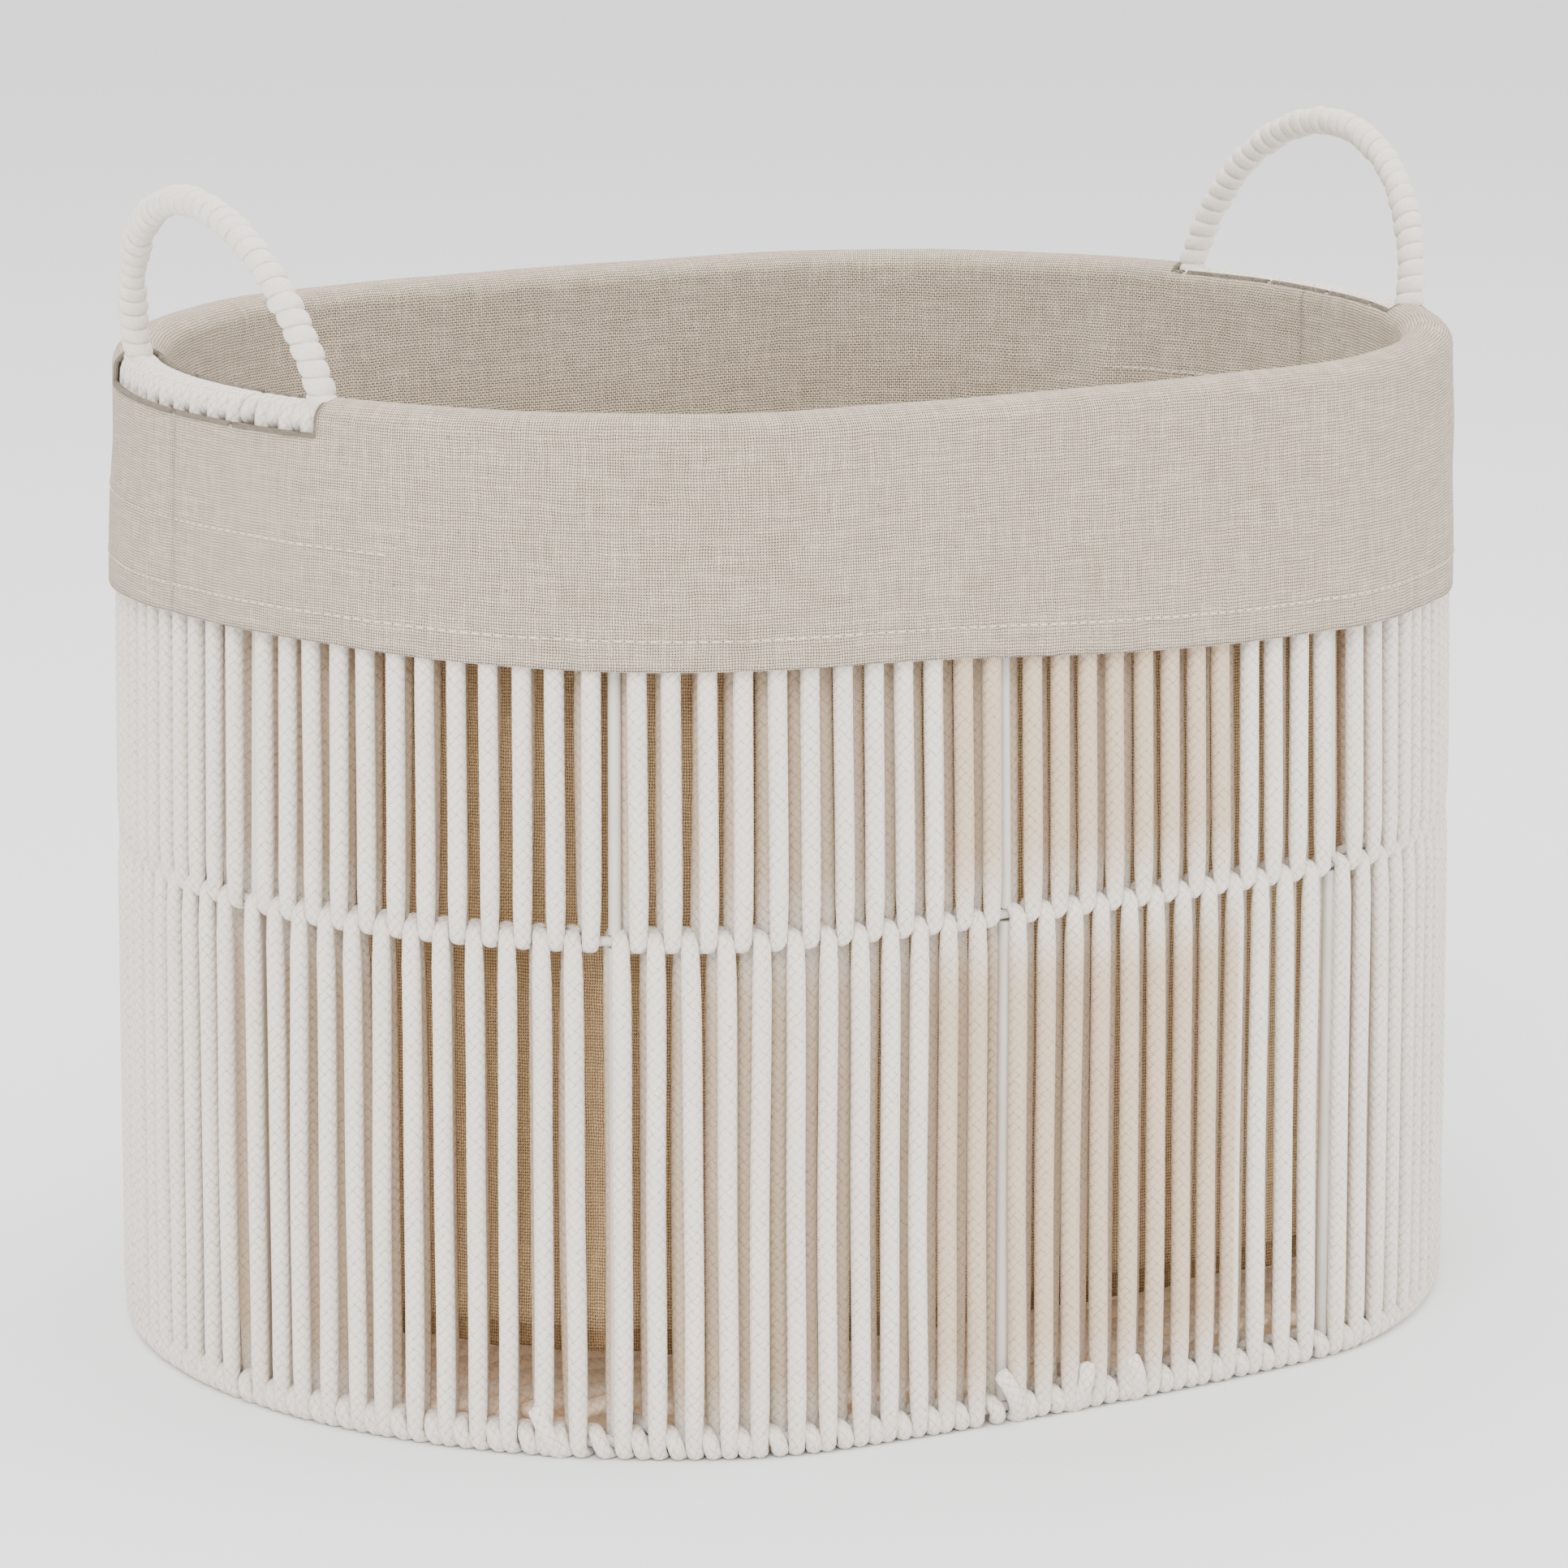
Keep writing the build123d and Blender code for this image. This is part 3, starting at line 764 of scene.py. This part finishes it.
CREASES = (
    # end (u from the right end, along +), height, lean, length, width and depth, in millimetres
    (18.0, 272.0, -0.15, 52.0, 4.5, 4.0),
    (32.0, 262.0, 0.25, 46.0, 5.0, 4.0),
    (-14.0, 276.0, -0.2, 44.0, 4.0, 4.0),
    (-28.0, 270.0, -0.3, 48.0, 4.2, 4.8),
    (-42.0, 266.0, -0.35, 52.0, 4.2, 4.8),
    (-56.0, 262.0, -0.4, 56.0, 4.2, 4.5),
    (95.0, 268.0, -0.12, 90.0, 9.0, 5.5),
    (112.0, 240.0, -0.18, 90.0, 8.0, 4.0),
    (64.0, 276.0, 0.1, 44.0, 5.0, 2.4),
    (640.0, 250.0, 0.15, 60.0, 6.0, 2.2),
    (668.0, 262.0, -0.2, 50.0, 5.0, 1.8),
)


def wall_swell(u, z):
    """How far the inside wall stands in from the cords."""
    height = (z - WALL_LOW) / (TOP_Z - WALL_LOW)
    free = np.sin(math.pi * np.clip(height, 0, 1)) ** 0.7
    swell = 0.8 * MM + 0.9 * MM * (1 + waves(u, z, 17, 9, 120 * MM)) * free
    swell = np.maximum(swell, 0.0) + 1.2 * MM * free
    for at, level, lean, length, width, depth in CREASES:
        du = np.mod(u - at * MM + PERIMETER / 2, PERIMETER) - PERIMETER / 2
        dz = z - level * MM
        across = du - lean * dz
        fade = np.exp(-(across / (width * MM)) ** 2 - (dz / (length * MM / 2)) ** 2)
        swell = swell + depth * MM * fade * free ** 0.3
    return swell


def liner_place(u, q):
    """A point of the liner's middle surface.

    q is 0 to 1 up the wall, to 2 over the rim and to 3 down the cuff.
    """
    u, q = np.broadcast_arrays(np.asarray(u, float), np.asarray(q, float))
    away, left = end_distance(u)
    wall = np.clip(q, 0, 1)
    fold = np.clip(q - 1, 0, 1) * math.pi
    cuff = np.clip(q - 2, 0, 1)
    wall_z = WALL_LOW + (TOP_Z - WALL_LOW) * wall
    seam = np.exp(-(away / (2.2 * MM)) ** 2)
    wall_n = (
        -CLOTH_SIDE - wall_swell(u, wall_z) * smoothstep((1 - wall) / 0.12)
        + 0.8 * MM * seam * smoothstep((1 - wall) / 0.1))
    fold_n = -CLOTH_SIDE * np.cos(fold)
    ripple = 0.25 * MM * waves(u, 0.0, 29, 6, 70 * MM)
    fold_z = TOP_Z + (CLOTH_CROWN + ripple) * np.sin(fold)
    edge = cuff_edge(u)
    cuff_z = TOP_Z - (TOP_Z - edge) * cuff
    flare = 2.0 * MM + np.where(left, 0.9, 0.4) * MM * np.exp(-(away / (75 * MM)) ** 2)
    loose = 0.55 * MM * waves(u, cuff_z, 41, 8, 110 * MM)
    loose = loose + 0.35 * MM * waves(u, cuff_z, 43, 8, 45 * MM)
    at_slot = smoothstep((SLOT_HALF + 14 * MM - away) / (22 * MM))
    cuff_n = (
        CLOTH_SIDE + flare * cuff ** 1.2 + np.maximum(loose, -0.5 * MM) * smoothstep(cuff * 2.2))
    cuff_n = cuff_n + 0.5 * MM * at_slot * smoothstep(cuff * 8) * (1 - 0.55 * cuff)
    cuff_n = cuff_n - 0.5 * MM * seam * smoothstep(cuff * 6)
    n = np.where(q < 1, wall_n, np.where(q < 2, fold_n, cuff_n)) - TAPER
    z = np.where(q < 1, wall_z, np.where(q < 2, fold_z, cuff_z))
    return place(u, n, z)


def liner_normal(u, q):
    """The cloth's normals: towards the laundry on the wall and outwards on the cuff."""
    du = liner_place(u + 0.5 * MM, q) - liner_place(u - 0.5 * MM, q)
    dq = liner_place(u, q + 0.004) - liner_place(u, q - 0.004)
    normal = np.cross(dq, du)
    return normal / np.linalg.norm(normal, axis=-1)[..., None]


FOLD_LENGTH = 22.6 * MM
WALL_LENGTH = TOP_Z - WALL_LOW
CUFF_LENGTH = 74.0 * MM


def cloth_v(q):
    """How far q lies along the cloth from its lower edge."""
    lengths = [0, WALL_LENGTH, WALL_LENGTH + FOLD_LENGTH, WALL_LENGTH + FOLD_LENGTH + CUFF_LENGTH]
    return np.interp(q, [0, 1, 2, 3], lengths)


WALL_ROWS = 44
SLOT_TOP_Q = 1.22
SLOT_LOW_Q = 2.0 + (TOP_Z - SLOT_EDGE_Z) / CUFF_LENGTH


def liner_columns(start):
    """The u of a panel's grid lines, from one end of the basket to the other."""
    half = PERIMETER / 2
    near = np.linspace(0.0, SLOT_HALF, 24)
    middle = np.linspace(SLOT_HALF, half - SLOT_HALF, 140)[1:-1]
    return start + np.concatenate([near, middle, half - near[::-1]])


def thickened(verts, normals, quads, uvs, thickness):
    """A closed sheet of cloth: both faces and the rims between them."""
    count = len(verts)
    both = np.vstack([verts + normals * thickness / 2, verts - normals * thickness / 2])
    edges = {}
    for quad in quads:
        for a, b in zip(quad, np.roll(quad, -1)):
            key = (min(a, b), max(a, b))
            edges[key] = None if key in edges else (a, b)
    faces = quads.tolist() + (quads[:, ::-1] + count).tolist()
    rims = [(b, a, a + count, b + count) for a, b in (e for e in edges.values() if e is not None)]
    corner = uvs[quads]
    loops = [corner.reshape(-1, 2), corner[:, ::-1].reshape(-1, 2)]
    rim_loops = np.array([[uvs[b], uvs[a], uvs[a], uvs[b]] for b, a, _, _ in rims]).reshape(-1, 2)
    return both, faces + [list(r) for r in rims], np.vstack(loops + [rim_loops]), len(quads)


def liner_panel(name, start, nodes):
    """Half of the liner, from its lower edge over the rim to the cuff's, cut out at the handles."""
    columns = liner_columns(start)
    rows = np.concatenate([
        np.linspace(0.0, 1.0, WALL_ROWS)[:-1],
        np.linspace(1.0, SLOT_TOP_Q, 4)[:-1],
        np.linspace(SLOT_TOP_Q, 2.0, 11)[:-1],
        np.linspace(2.0, SLOT_LOW_Q, 5)[:-1],
        np.linspace(SLOT_LOW_Q, 3.0, 26)])
    q, u = np.meshgrid(rows, columns, indexing="ij")
    verts = liner_place(u, q).reshape(-1, 3)
    normals = liner_normal(u, np.clip(q, 0.004, 2.996)).reshape(-1, 3)
    uvs = np.stack([u, cloth_v(q)], -1).reshape(-1, 2)
    away, _ = end_distance((columns[:-1] + columns[1:]) / 2)
    middle = (rows[:-1] + rows[1:]) / 2
    hole = ((middle > SLOT_TOP_Q) & (middle < SLOT_LOW_Q))[:, None] & (away < SLOT_HALF)[None, :]
    quads = grid_faces(len(rows), len(columns), ~hole)
    both, faces, loops, count = thickened(verts, normals, quads, uvs, CLOTH)
    panel = piece(name, (both, faces, loops), LINEN, "liner")
    # the wall's outer faces get the copy of the linen with painted shade and light
    panel.data.materials.append(LINEN_BACK_PAINTED_SHADE_AND_LIGHT)
    indices = np.zeros(len(panel.data.polygons), dtype=np.int32)
    is_wall = (quads[:, 0] // len(columns)) < WALL_ROWS - 2
    indices[count:2 * count][is_wall] = 1
    panel.data.polygons.foreach_set("material_index", indices)
    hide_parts(*nodes)
    return panel


def stitches(name, us, qs):
    """Short stitches on the cloth's outer face, one at each (u, q)."""
    normal = liner_normal(us, qs)
    middle = liner_place(us, qs) + normal * STITCH_LIFT
    ahead = liner_place(us + 0.6 * MM, qs) - liner_place(us - 0.6 * MM, qs)
    ahead /= np.linalg.norm(ahead, axis=1)[:, None]
    shapes = []
    for point, way, out in zip(middle, ahead, normal):
        t = np.array([-1.0, -0.5, 0.0, 0.5, 1.0])[:, None]
        path = point + way * t * STITCH_HALF_LENGTH + out * (0.12 * MM * (1 - t ** 2))
        wide = np.array([0.4, 0.9, 1.0, 0.9, 0.4]) * STITCH_HALF_WIDTH
        shapes.append(sweep(path, np.cross(way, out), wide, wide * 0.7, segments=6, tips=False))
    return piece(name, joined(shapes), THREAD, "liner")


def stitch_line(start, stop):
    return np.arange(start, stop, STITCH_PITCH)


HEM_DEPTH = 10.0 * MM
FACING_END = 92.0 * MM           # how far the slots' facing reaches from the basket's end
FACING_BELOW_SLOT = 37.0 * MM
FACING_BELOW_RIM = 30.0 * MM


def liner_stitches(name, start):
    """The hem's stitches and the facing's, outside and inside, on half of the liner."""
    stop = start + PERIMETER / 2
    us = stitch_line(start + 2 * MM, stop - 2 * MM)
    hem = stitches(f"hem_stitches_{name}", us, np.full(us.shape, 3.0 - HEM_DEPTH / CUFF_LENGTH))
    us = np.concatenate([
        stitch_line(start + 3 * MM, start + FACING_END),
        stitch_line(stop - FACING_END, stop - 3 * MM)])
    wander = 0.012 * waves(us, 0.0, 51, 4, 150 * MM)
    facing_q = SLOT_LOW_Q + FACING_BELOW_SLOT / CUFF_LENGTH
    outside = stitches(f"facing_stitches_{name}", us, facing_q + wander)
    facing_q = 1.0 - FACING_BELOW_RIM / WALL_LENGTH
    inside = stitches(f"inside_stitches_{name}", us, facing_q + wander * 0.3)
    return [hem, outside, inside]


def liner():
    half = PERIMETER / 2
    back_nodes = ("liner_back_wall", "liner_back_cuff", "cuff_end_right")
    front_nodes = ("liner_front_wall", "liner_front_cuff", "cuff_end_left")
    back = liner_panel("liner_back_cloth", 0.0, back_nodes)
    front = liner_panel("liner_front_cloth", half, front_nodes)
    hems = {"back": liner_stitches("back", 0.0), "front": liner_stitches("front", half)}


def cuff_hems():
    """The turned-up edge inside the cuff, and the rolled edges of the handle slots."""
    half = PERIMETER / 2
    for name, start in (("back", 0.0), ("front", half)):
        us = start + np.linspace(1.0 * MM, half - 1.0 * MM, 150)
        u, q = np.meshgrid(us, np.linspace(3.0 - 10.5 * MM / CUFF_LENGTH, 2.998, 6), indexing="xy")
        normals = liner_normal(u, np.minimum(q, 2.996)).reshape(-1, 3)
        verts = liner_place(u, q).reshape(-1, 3) - normals * 1.15 * MM
        uvs = np.stack([u, cloth_v(q)], -1).reshape(-1, 2)
        both, faces, loops, _ = thickened(verts, normals, grid_faces(*u.shape), uvs, 1.0 * MM)
        band = piece(f"cuff_hem_{name}", (both, faces, loops), LINEN, "liner")
    shapes = []
    for centre in (0.0, half):
        for low in (SLOT_LOW_Q, SLOT_TOP_Q):
            us = centre + np.linspace(-SLOT_HALF, SLOT_HALF, 60)
            path = liner_place(us, low)
            shapes.append(sweep(path, along(us), 1.0 * MM, 1.0 * MM, segments=8))
        for sign in (-1, 1):
            qs = np.linspace(SLOT_TOP_Q, SLOT_LOW_Q, 24)
            us = np.full(qs.shape, centre + sign * SLOT_HALF)
            path = liner_place(us, qs)
            shapes.append(sweep(path, along(us), 0.85 * MM, 0.85 * MM, segments=8))
    piece("slot_edges", joined(shapes), LINEN, "liner")


def liner_floor():
    """The liner's floor, slightly slack, and the raw seam edge that hangs under it."""
    us = np.linspace(0, PERIMETER, 181)
    rim = place(us, -TAPER - CLOTH_SIDE - 2.2 * MM, 0.0)[:, :2]
    rings = np.linspace(0.02, 1.0, 26)
    xy = rim[None, :, :] * rings[:, None, None]
    slack = 1.0 * MM * np.sin(xy[..., 0] * 46 + 1.0) * np.sin(xy[..., 1] * 39 + 2.0)
    slack = slack * (1 - rings[:, None] ** 4)
    z = FLOOR_Z + slack - 1.2 * MM * (1 - rings[:, None] ** 2)
    verts = np.concatenate([xy, z[..., None]], -1).reshape(-1, 3)
    normals = np.tile([0.0, 0.0, 1.0], (len(verts), 1))
    quads = grid_faces(len(rings), len(us))[:, ::-1]
    both, faces, loops, _ = thickened(verts, normals, quads, verts[:, :2], CLOTH)
    floor = piece("liner_floor_cloth", (both, faces, loops), LINEN, "liner")
    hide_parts("liner_floor_panel")
    rng = np.random.default_rng(61)
    fray = rng.uniform(-0.7, 0.7, size=len(us)) * MM
    fray[-1] = fray[0]
    levels = np.linspace(0.0, 1.0, 4)
    z = 29.6 * MM + fray[None, :] * (1 - levels[:, None]) + levels[:, None] * 7.4 * MM
    ripple = 0.5 * MM * np.sin(us[None, :] / (9 * MM)) * (1 - levels[:, None])
    n = -TAPER - CLOTH_SIDE - 1.0 * MM + ripple
    verts = place(us[None, :], n, z).reshape(-1, 3)
    normals = place(us, 1.0, 0.0) - place(us, 0.0, 0.0)
    normals = np.tile(normals, (len(levels), 1))
    uvs = np.stack([np.tile(us, len(levels)), z.ravel()], -1)
    quads = grid_faces(len(levels), len(us))
    both, faces, loops, _ = thickened(verts, normals, quads, uvs, 1.6 * MM)
    # the seam edge uses the linen copy with painted shadow
    edge = piece("floor_seam_edge", (both, faces, loops), RAW_EDGE_PAINTED_SHADE, "liner")


# --- frame and stage --------------------------------------------------------
def paint_frame():
    wires = ("top_ring", "middle_ring", "bottom_ring", "upper_uprights", "lower_uprights",
             "base_cross_wires", "handle_wire_left", "handle_wire_right")
    for name in wires:
        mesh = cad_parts[name].data
        mesh.materials.clear()
        mesh.materials.append(WIRE)


def studio():
    scene = bpy.context.scene
    size = 8.0
    verts = [(-size, -size, 0), (size, -size, 0), (size, size, 0), (-size, size, 0)]
    mesh = bpy.data.meshes.new("floor")
    mesh.from_pydata(verts, [], [(0, 1, 2, 3)])
    floor = bpy.data.objects.new("floor", mesh)
    scene.collection.objects.link(floor)
    s = Shader("pale_floor")
    grain = s.noise(s.here(), 300.0, 2.0)
    tone = s.mix(grain, (0.93, 0.955, 0.985, 1.0), (0.94, 0.965, 0.995, 1.0))
    mesh.materials.append(s.finish(tone, None, 0.9, specular=0.1))
    world = bpy.data.worlds.new("studio")
    world.use_nodes = True
    world.node_tree.nodes["Background"].inputs[0].default_value = (1.0, 0.965, 0.925, 1.0)
    world.node_tree.nodes["Background"].inputs[1].default_value = 1.6
    scene.world = world
    lights = (
        ("key", (-1.8, -1.9, 2.4), 1.6, 82.0),
        ("fill", (2.4, -1.2, 1.6), 2.4, 26.0),
        ("top", (0.2, 0.4, 2.6), 2.0, 48.0),
    )
    for name, spot, width, power in lights:
        lamp = bpy.data.lights.new(name, "AREA")
        lamp.shape = "SQUARE"
        lamp.size = width
        lamp.energy = power
        obj = bpy.data.objects.new(name, lamp)
        obj.location = spot
        aim = Vector((0, 0, 0.16)) - Vector(spot)
        obj.rotation_euler = aim.to_track_quat("-Z", "Y").to_euler()
        scene.collection.objects.link(obj)


def camera():
    data = bpy.data.cameras.new("camera")
    data.sensor_width = 36.0
    data.lens = 152.9
    obj = bpy.data.objects.new("camera", data)
    spot, target = Vector((-1.1356, -1.8138, 0.6127)), Vector((-0.0014, 0.0009, 0.1681))
    obj.location = spot
    obj.rotation_euler = (target - spot).to_track_quat("-Z", "Y").to_euler()
    bpy.context.scene.collection.objects.link(obj)
    bpy.context.scene.camera = obj


camera()
studio()
paint_frame()
windings("upper")
windings("lower")
cord_ends()
base_weave()
handle_wrap(1, "right")
handle_wrap(-1, "left")
liner()
cuff_hems()
liner_floor()
